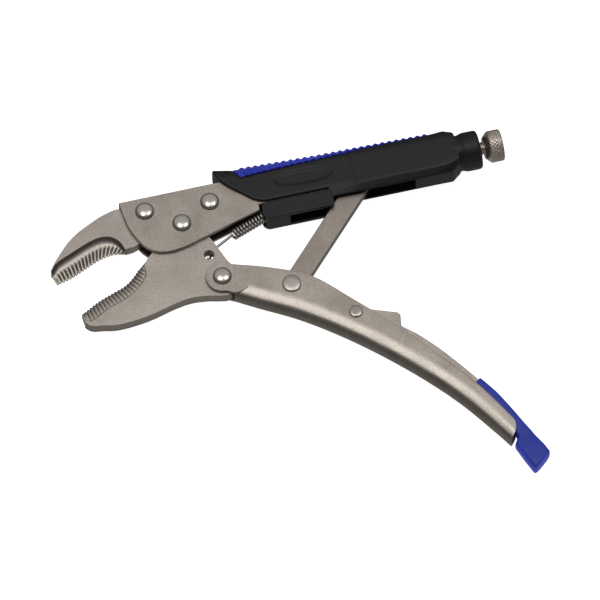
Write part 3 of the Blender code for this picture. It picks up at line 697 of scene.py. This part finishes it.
def make_spring():
    """The return spring: a close coil, a straight wire with a hook in the jaw's hole, and an upper hook."""
    low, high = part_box("spring_anchor_pin")
    pin = from_jaw((low + high) / 2)
    length = hypot(COIL_END[0] - COIL_START[0], COIL_END[1] - COIL_START[1])
    along = ((COIL_END[0] - COIL_START[0]) / length, (COIL_END[1] - COIL_START[1]) / length)
    across = (-along[1], along[0])
    samples = COIL_TURNS * COIL_SAMPLES
    coil = []
    for i in range(samples + 1):
        a = 2 * pi * i / COIL_SAMPLES + COIL_PHASE
        s = length * i / samples
        n = COIL_R * sin(a)
        coil.append((COIL_START[0] + along[0] * s + across[0] * n,
                     COIL_START[1] + along[1] * s + across[1] * n, COIL_R * cos(a)))
    x, y = SPRING_HOLE
    lead = [(x - 0.7, y - 0.7, 2.2), (x - 0.5, y - 0.3, -0.5), (x + 0.2, y + 0.6, -3.4),
            (x + 1.7, y + 3.4, -4.6), (x + 4.1, y + 6.5, -4.4), (x + 9.0, y + 8.9, -3.6),
            (COIL_START[0] - 1.6, COIL_START[1] + 0.5, -2.6), coil[0]]
    tail = [coil[-1], (COIL_END[0] + 2.4, COIL_END[1] + 1.4, -0.4), (pin[0] - 2.2, pin[1] - 2.0, 0.0)]
    for i in range(5):
        a = radians(-60 + 50 * i)
        tail.append((pin[0] + UPPER_HOOK_R * cos(a), pin[1] + UPPER_HOOK_R * sin(a), 0.2 + 0.1 * i))
    path = smooth_curve(lead, 60)[:-1] + coil + smooth_curve(tail, 40)[1:]
    item = tube_along("spring_coil", path, WIRE_R)
    item.data.materials.append(SPRING_STEEL)
    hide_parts("return_spring")
    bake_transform(item)
    return item


HANDLE_TOP = [(19.5, -29.9), (39.7, -36.9), (59.5, -47.0), (78.0, -66.3), (95.5, -85.7), (112.6, -107.6),
              (128.5, -129.8), (140.6, -151.6), (143.6, -157.6)]
HANDLE_FOLD = [(16.9, -49.6), (27.6, -56.4), (46.4, -67.8), (63.7, -80.9), (82.0, -97.2), (101.0, -116.8),
               (117.4, -136.7), (131.4, -157.9), (137.0, -167.2)]
WALL_OUT = 5.3
WALL_IN = 3.6
SHEET = 1.7
EAR_R = 8.7
# The end's upper corner: how far back along the top and down along the end it is rounded off.
CORNER_BACK = 6.5
CORNER_DOWN = 5.5


def make_lower_handle():
    """The moving handle: folded sheet that runs down softly into its fold, with rolled edges and two ears."""
    # From the open top to the fold: height above the fold, and half width.
    outside = smooth_curve([(13.4, WALL_OUT), (10.9, WALL_OUT), (9.8, 5.27), (8.6, 5.16), (7.4, 4.97),
                            (6.1, 4.68), (4.8, 4.33), (3.7, 3.9), (2.6, 3.2), (1.6, 2.3), (0.7, 1.25),
                            (0.2, 0.5), (0.0, 0.0)], 34)
    inside = smooth_curve([(13.4, WALL_IN), (10.0, WALL_IN), (8.8, WALL_IN), (7.6, 3.58), (6.4, 3.5),
                           (5.2, 3.28), (4.0, 2.88), (3.0, 2.25), (2.2, 1.3), (SHEET, 0.0)], 24)
    rings = []
    for top, fold in zip(smooth_curve(HANDLE_TOP, 64), smooth_curve(HANDLE_FOLD, 64)):
        depth = hypot(top[0] - fold[0], top[1] - fold[1])
        up = ((top[0] - fold[0]) / depth, (top[1] - fold[1]) / depth)
        squeeze = min(1.0, (depth - 1.6) / outside[0][0])
        lip = [(depth - 0.45, WALL_OUT), (depth - 0.13, WALL_OUT - 0.13), (depth, WALL_OUT - 0.45)]
        back = [(depth, WALL_IN + 0.35), (depth - 0.1, WALL_IN + 0.1), (depth - 0.35, WALL_IN)]
        out = [(depth, WALL_OUT - 0.45)] + lip[1::-1] + [(n * squeeze, z) for n, z in outside]
        inn = back + [(n * squeeze if i < len(inside) - 1 else n, z) for i, (n, z) in enumerate(inside)]
        half = out[:-1]
        ring = half + [out[-1]] + [(n, -z) for n, z in reversed(half)]
        inner_half = inn[:-1]
        ring += [(n, -z) for n, z in inner_half] + [inn[-1]] + [(n, z) for n, z in reversed(inner_half)]
        rings.append([(fold[0] + up[0] * n, fold[1] + up[1] * n, z) for n, z in ring])
    handle = build("handle_channel_folded", loft(rings))
    ear = arc(HANDLE_PIVOT, EAR_R, 66, 262, 48)
    ear += smooth_curve([(14.2, -45.2), (16.2, -46.4), (17.8, -47.2), (20.0, -47.2)], 8)
    ear += [(25.0, -46.0), (29.0, -40.0), (28.0, -33.3), (21.0, -30.75)]
    for side in (-1, 1):
        low, high = sorted((side * (WALL_IN + 0.02), side * (WALL_OUT - 0.01)))
        combine(handle, prism(ear, low, high), "UNION", 0.3)
    combine(handle, prism(anticlockwise(end_corner()), -9, 9))
    handle.data.shade_smooth()
    handle.data.set_sharp_from_angle(angle=radians(34))
    even_flats(handle)
    return fit(handle, "moving_handle", "sheet_nickel", SHEET_NICKEL, "lower_handle_channel")


def end_corner():
    """The piece to cut from the handle's end so that its upper corner is round."""
    x, y = HANDLE_TOP[-1]
    back = (HANDLE_TOP[-2][0] - x, HANDLE_TOP[-2][1] - y)
    down = (HANDLE_FOLD[-1][0] - x, HANDLE_FOLD[-1][1] - y)
    back = [c / hypot(*back) * CORNER_BACK for c in back]
    down = [c / hypot(*down) * CORNER_DOWN for c in down]

    def place(along, across):
        return (x + back[0] * along + down[0] * across, y + back[1] * along + down[1] * across)

    curve = [place((1 - i / 14) ** 2, (i / 14) ** 2) for i in range(15)]
    return curve + [place(-0.5, 1.2), place(-0.6, -0.6), place(1.2, -0.5)]


# Stations of the sleeve: ridge x, ridge y, keel x, keel y, half width.
SLEEVE_STATIONS = ((131.2, -124.9, 125.4, -129.6, 2.6), (131.9, -126.0, 126.0, -130.7, 3.0),
                   (137.6, -135.2, 131.0, -140.4, 3.1), (143.2, -147.0, 136.2, -151.2, 3.1),
                   (147.4, -156.6, 139.6, -159.0, 3.1), (149.8, -161.8, 141.4, -163.7, 3.1),
                   (151.2, -165.0, 139.3, -167.9, 3.3), (152.4, -167.4, 140.1, -171.0, 3.6),
                   (154.0, -170.6, 142.3, -177.2, 4.0), (155.9, -175.4, 145.2, -184.4, 4.3))
# The rounded tip: how far past the last station, and the share of its size there.
SLEEVE_TIP = ((0.5, 0.97), (0.9, 0.9), (1.1, 0.8))


def make_sleeve():
    """The dipped sleeve on the lever's tail, wider where it comes out of the handle."""
    stations = smooth_curve(SLEEVE_STATIONS, 64)
    rings = []
    for ridge_x, ridge_y, keel_x, keel_y, half in stations:
        middle = ((ridge_x + keel_x) / 2, (ridge_y + keel_y) / 2)
        reach = hypot(ridge_x - keel_x, ridge_y - keel_y) / 2
        across = ((ridge_x - middle[0]) / reach, (ridge_y - middle[1]) / reach)
        rings.append(rounded_ring(middle, across, reach, half))
    a, b = stations[-2:]
    ahead = (b[0] - a[0] + b[2] - a[2], b[1] - a[1] + b[3] - a[3])
    step = hypot(*ahead)
    for forward, shrink in SLEEVE_TIP:
        tip = (middle[0] + ahead[0] / step * forward, middle[1] + ahead[1] / step * forward)
        rings.append(rounded_ring(tip, across, reach * shrink, half * shrink))
    return fit(build("sleeve_dipped", loft(rings), 50), "release", "sleeve_blue", SLEEVE_BLUE, "lever_sleeve")


def rounded_ring(middle, across, reach, half):
    """A soft-cornered oblong section; a corner of 1 would make it an ellipse and 0 a box."""
    ring = []
    corner = 0.55
    steps = 44
    for i in range(steps):
        a = 2 * pi * i / steps
        n = reach * abs(sin(a)) ** corner * (1 if sin(a) >= 0 else -1)
        z = half * abs(cos(a)) ** corner * (1 if cos(a) >= 0 else -1)
        ring.append((middle[0] + across[0] * n, middle[1] + across[1] * n, z))
    return ring


# The crown that the blue strip lies on: x, top, foot, half width.
CROWN = [(18.0, 29.8, 21.0, 7.0), (33.0, 26.5, 19.2, 7.1), (62.0, 25.2, 18.2, 7.1), (79.6, 24.55, 17.6, 7.0),
         (97.5, 24.2, 17.1, 7.6), (120.0, 23.7, 16.4, 7.7), (141.0, 23.2, 15.8, 7.6),
         (146.5, 23.5, 15.9, 7.6)]
# Sections of the grip: the same, then the underside, its chamfer and its half width.
FRONT_SECTIONS = [(18.0, 30.0, 21.0, 7.9, 1.9, 1.0, 6.9), (26.0, 28.2, 20.1, 7.5, 1.9, 1.0, 6.8),
                  (34.0, 26.4, 19.2, 7.1, 1.9, 1.0, 6.6), (62.0, 25.2, 18.2, 7.1, 1.9, 1.0, 6.6),
                  (98.0, 24.1, 17.2, 7.1, 1.9, 1.0, 6.6)]
REAR_SECTIONS = [(79.6, 24.3, 17.4, 6.5, -3.3, 4.2, 5.2), (92.6, 24.1, 17.2, 6.85, -3.3, 4.2, 5.3),
                 (96.0, 24.2, 17.1, 7.65, -3.3, 4.2, 5.6), (120.0, 23.7, 16.4, 7.8, -3.3, 4.2, 5.6),
                 (138.0, 23.3, 15.9, 7.8, -3.3, 4.0, 5.6), (146.5, 23.5, 15.9, 8.8, -3.3, 4.0, 5.8),
                 (151.6, 21.4, 14.2, 9.0, 0.8, 2.0, 5.8)]
STRIP_START = 33.0
STRIP_END = 144.6
RIB_PITCH = 3.8
CHANNEL_FOOT = 1.5
CHANNEL_TOP = 19.5
CHANNEL_END = 141.0
CHANNEL_FIT = 5.6
SLOT_START = 78.0
SLOT_END = 126.0
SLOT_HALF = 4.9
SCREW_BORE = 6.3
PAD_CENTRE = (68.5, 11.6)
PAD_HALF_LENGTH = 15.5
PAD_HALF_WIDTH = 4.3
PAD_DEPTH_Z = 6.5
SIDE_Z = 9.0
# The strip's half spread round the crown in degrees at its front, and how much it narrows towards its rear.
STRIP_SPREAD = 94
STRIP_TAPER = 66
STRIP_LEAN = 2.6
RIB_RISE = 0.75


def grip_ring(section):
    """One section of the grip: a half-round crown on straight sides."""
    x, top, foot, half, under, chamfer, base = section
    steps = 44
    ring = [(x, under, base), (x, under + chamfer, half)]
    for i in range(steps + 1):
        a = pi * i / steps
        ring.append((x, foot + (top - foot) * sin(a), half * cos(a)))
    return ring + [(x, under + chamfer, -half), (x, under, -base)]


def section_at(x):
    """The crown's top, foot and half width at a place along the grip."""
    for a, b in zip(CROWN, CROWN[1:]):
        if x <= b[0]:
            t = (x - a[0]) / (b[0] - a[0])
            return [a[k] + (b[k] - a[k]) * t for k in (1, 2, 3)]
    return list(CROWN[-1][1:])


def strip_ring(x, rise, depth, widen):
    """A curved section of the strip; near its front end it leans back towards its sides."""
    top, foot, half = section_at(x)
    share = (x - STRIP_START) / (STRIP_END - STRIP_START)
    spread = radians(STRIP_SPREAD - STRIP_TAPER * share) + widen
    lean = STRIP_LEAN * max(0.0, 1 - max(0.0, share) * 7)
    steps = 28
    outer = []
    inner = []
    for i in range(steps + 1):
        a = pi / 2 - spread + 2 * spread * i / steps
        back = x + lean * (1 - sin(a))
        outer.append((back, foot + (top - foot + rise) * sin(a), (half + rise) * cos(a)))
        inner.append((back, foot + (top - foot - depth) * sin(a), (half - depth) * cos(a)))
    return outer + inner[::-1]


def make_grip():
    """The soft black grip, moulded in one skin."""
    shell = build("grip_moulded", loft([grip_ring(s) for s in FRONT_SECTIONS]))
    combine(shell, loft([grip_ring(s) for s in REAR_SECTIONS]), "UNION")
    collar = turned_x([(7.0, 141.4), (7.6, 143.5), (8.4, 146.5), (9.1, 149.6), (9.35, 151.9), (9.8, 153.8),
                       (10.42, 155.6), (10.42, 162.2), (10.1, 163.0), (9.6, 163.5)], 96)
    combine(shell, collar, "UNION")
    brow = smooth_curve([(26.4, 30.6), (24.0, 29.3), (22.7, 27.2), (22.9, 24.0), (25.6, 18.8), (30.1, 13.7),
                         (34.9, 9.2), (39.6, 4.8), (43.6, 2.6), (49.0, 1.5)], 40)
    front = anticlockwise(brow + [(49.0, -20.0), (0.0, -20.0), (0.0, 40.0), (26.4, 40.0)])
    combine(shell, prism(front, -12, 12))
    combine(shell, slab((-10.0, CHANNEL_FOOT - GAP), (CHANNEL_END + GAP, CHANNEL_TOP + GAP), CHANNEL_FIT))
    combine(shell, slab((SLOT_START, -10.0), (SLOT_END, CHANNEL_FOOT), SLOT_HALF))
    combine(shell, turned_x([(SCREW_BORE, 130.0), (SCREW_BORE, 170.0)]))
    pad = []
    for i in range(64):
        a = 2 * pi * i / 64
        bulge = (abs(sin(a)) ** 0.8) * (1 if sin(a) > 0 else -1)
        pad.append((PAD_CENTRE[0] + PAD_HALF_LENGTH * cos(a),
                    PAD_CENTRE[1] - 0.5 * cos(a) + PAD_HALF_WIDTH * bulge))
    for side in (-1, 1):
        low, high = sorted((side * PAD_DEPTH_Z, side * SIDE_Z))
        combine(shell, prism(pad, low, high))
    spans = 60
    length = STRIP_END - STRIP_START + 2 * GAP
    places = [STRIP_START - GAP + length * i / spans for i in range(spans + 1)]
    combine(shell, loft([strip_ring(x, 3.0, 1.6, 0.03) for x in places]))
    remould(shell, 0.42, 12)
    return fit(shell, "fixed_handle", "grip_black", GRIP_BLACK, "grip_shell")


def make_strip():
    """The ribbed blue strip, let into the grip's crown, with plain thin ends."""
    span = STRIP_END - STRIP_START
    ribs = int((span - 6) / RIB_PITCH)
    steps = int(span / 0.3)
    rings = []
    for i in range(steps + 1):
        x = STRIP_START + span * i / steps
        place = (x - STRIP_START - 5) / RIB_PITCH
        near = place - round(place)
        rib = 0.0
        if -0.5 < place < ribs - 0.5:
            rib = max(0.0, cos(near * 2 * pi * 0.72)) ** 0.8
        end = min(1.0, (x - STRIP_START) / 0.8, (STRIP_END - x) / 0.8)
        rings.append(strip_ring(x, -0.25 + 0.35 * end + RIB_RISE * rib, 1.5, 0.0))
    strip = build("grip_ribs_moulded", loft(rings), 50)
    round_edges(strip, 0.3, 3, 60)
    return fit(strip, "fixed_handle", "grip_blue", GRIP_BLUE, "grip_rib_strip")


SKIRT_OUT = 6.4
SKIRT_IN = 4.2
SKIRT_FOOT = -8.5
SKIRT_END = 81.2


def make_skirt():
    """The hard skirt under the grip's wing, round the spring's end."""
    top = CHANNEL_FOOT - GAP
    outline = [(43.4, top), (42.5, -4.6)] + arc((46.6, -4.5), 4.0, 190, 268, 12)
    outline += [(79.8, SKIRT_FOOT), (SKIRT_END, -7.1), (SKIRT_END, top)]
    skirt = build("skirt_moulded", prism(anticlockwise(outline), -SKIRT_OUT, SKIRT_OUT))
    combine(skirt, slab((30.0, -7.3), (58.0, 10.0), SKIRT_IN))
    combine(skirt, slab((57.0, -20.0), (90.0, 10.0), SKIRT_IN))
    remould(skirt, 0.3, 3)
    return fit(skirt, "fixed_handle", "skirt_black", SKIRT_BLACK, "grip_skirt")


# ---------------------------------------------------------------- room, light and camera

def add_floor():
    """A white sweep, lit through like a light table near the tool and dimmer far away."""
    mesh = bpy.data.meshes.new("floor")
    reach = 6.0
    below = -0.2 * MM
    corners = [(-reach, -reach, below), (reach, -reach, below), (reach, reach, below), (-reach, reach, below)]
    mesh.from_pydata(corners, [], [(0, 1, 2, 3)])
    floor_object = bpy.data.objects.new("floor", mesh)
    bpy.context.scene.collection.objects.link(floor_object)
    g = Graph("floor_paper")
    cloud = g.noise(6, 2.0, 0.5)
    tone = g.mix(cloud, (0.86, 0.86, 0.86), (0.84, 0.84, 0.84))
    far = g.add("ShaderNodeVectorMath", operation="LENGTH")
    g.link(g.place, far.inputs[0])
    glow = g.ramp(far.outputs["Value"], 0.95, 0.30, 0.28, 0.9)
    g.shader.inputs["Emission Color"].default_value = (1.0, 1.0, 1.0, 1.0)
    g.link(glow, g.shader.inputs["Emission Strength"])
    mesh.materials.append(g.finish(tone, g.ramp(cloud, 0.7, 0.75), g.bump(cloud, 0.02, 0.1)))
    floor_object.visible_glossy = False


def direction(azimuth, elevation):
    """Towards a place in the sky; azimuth 0 is in front of the tool and 90 to its right."""
    a, e = radians(azimuth), radians(elevation)
    return Vector((sin(a) * cos(e), -cos(a) * cos(e), sin(e)))


VIEW_AZIMUTH = -13.5
VIEW_ELEVATION = 61.0
# A very long lens far away, so that near and far parts are drawn almost to one scale.
LENS = 900.0
DISTANCE_PER_LENS = 0.00877
# The middle of the view: metres right of the jaw pivot and metres below it in the picture,
# measured from a place some millimetres over the pivot.
MIDDLE_RIGHT = 0.0622
MIDDLE_BELOW = 0.0409
OVER_PIVOT = 6.0
LAMP_DISTANCE = 1.3


def add_softbox(name, azimuth, elevation, size, power):
    """A rectangular lamp turned towards the tool."""
    light = bpy.data.lights.new(name, "AREA")
    light.shape = "RECTANGLE"
    light.size, light.size_y = size
    light.energy = power
    item = bpy.data.objects.new(name, light)
    away = direction(azimuth, elevation)
    item.location = away * LAMP_DISTANCE
    item.rotation_mode = "QUATERNION"
    item.rotation_quaternion = away.to_track_quat("Z", "Y")
    bpy.context.scene.collection.objects.link(item)


def add_lights():
    """A dim studio, palest high at the back and darkest halfway up in front, with two lamps overhead."""
    shade = bpy.data.worlds.new("studio")
    bpy.context.scene.world = shade
    shade.use_nodes = True
    tree = shade.node_tree
    place = tree.nodes.new("ShaderNodeTexCoord")
    lean = tree.nodes.new("ShaderNodeVectorMath")
    lean.operation = "DOT_PRODUCT"
    lean.inputs[1].default_value = direction(VIEW_AZIMUTH + 180, 62)
    half = tree.nodes.new("ShaderNodeMapRange")
    half.inputs["From Min"].default_value = -1.0
    ramp = tree.nodes.new("ShaderNodeValToRGB")
    stops = ((0.0, 0.26), (0.40, 0.22), (0.52, 0.10), (0.68, 0.08), (0.83, 0.17), (0.94, 0.42), (1.0, 0.50))
    while len(ramp.color_ramp.elements) < len(stops):
        ramp.color_ramp.elements.new(0.5)
    for element, (at, value) in zip(ramp.color_ramp.elements, stops):
        element.position = at
        element.color = (value, value * 0.985, value * 0.965, 1.0)
    tree.links.new(place.outputs["Generated"], lean.inputs[0])
    tree.links.new(lean.outputs["Value"], half.inputs["Value"])
    tree.links.new(half.outputs["Result"], ramp.inputs["Fac"])
    background = tree.nodes["Background"]
    background.inputs["Strength"].default_value = 1.0
    tree.links.new(ramp.outputs["Color"], background.inputs["Color"])
    add_softbox("left_lamp", -132, 77, (0.48, 0.42), 1.9)
    add_softbox("right_lamp", 109, 70, (0.42, 0.42), 1.7)


def add_camera():
    """The camera, over the tool and in front of it, a little to the left."""
    camera = bpy.data.cameras.new("camera")
    camera.lens = LENS
    camera.sensor_width = 36
    item = bpy.data.objects.new("camera", camera)
    bpy.context.scene.collection.objects.link(item)
    bpy.context.scene.camera = item
    back = direction(VIEW_AZIMUTH, VIEW_ELEVATION)
    right = Vector((cos(radians(VIEW_AZIMUTH)), sin(radians(VIEW_AZIMUTH)), 0.0))
    up = back.cross(right)
    target = world(0.0, 0.0, OVER_PIVOT) + right * MIDDLE_RIGHT - up * MIDDLE_BELOW
    item.rotation_mode = "QUATERNION"
    item.rotation_quaternion = back.to_track_quat("Z", "Y")
    item.location = target + back * (LENS * DISTANCE_PER_LENS)
    camera.clip_start = 0.05
    camera.clip_end = 40


def main():
    dress_cad("fixed_handle_channel", SHEET_NICKEL, 0.22)
    make_upper_jaw()
    make_lower_jaw()
    dress_cad("toggle_link", LINK_NICKEL, 0.3)
    dress_cad("release_lever", SHEET_NICKEL)
    dress_cad("spring_anchor_pin", RIVET_SATIN)
    for node in ("front_jaw_rivet", "rear_jaw_rivet", "jaw_pivot_rivet"):
        make_rivet(node, "fixed_handle", "rivet_polished", RIVET_POLISHED, DOMED_HEAD)
    make_rivet("handle_pivot_rivet", "moving_handle", "rivet_polished", RIVET_POLISHED, DOMED_HEAD)
    make_rivet("link_rivet", "moving_handle", "rivet_satin", RIVET_SATIN, LOW_HEAD)
    make_rivet("lever_rivet", "moving_handle", "rivet_satin", RIVET_SATIN, SMALL_HEAD)
    make_knob()
    make_screw()
    make_spring()
    make_lower_handle()
    make_sleeve()
    make_grip()
    make_strip()
    make_skirt()
    add_floor()
    add_lights()
    add_camera()
    bpy.context.scene.view_settings.view_transform = "Standard"


main()
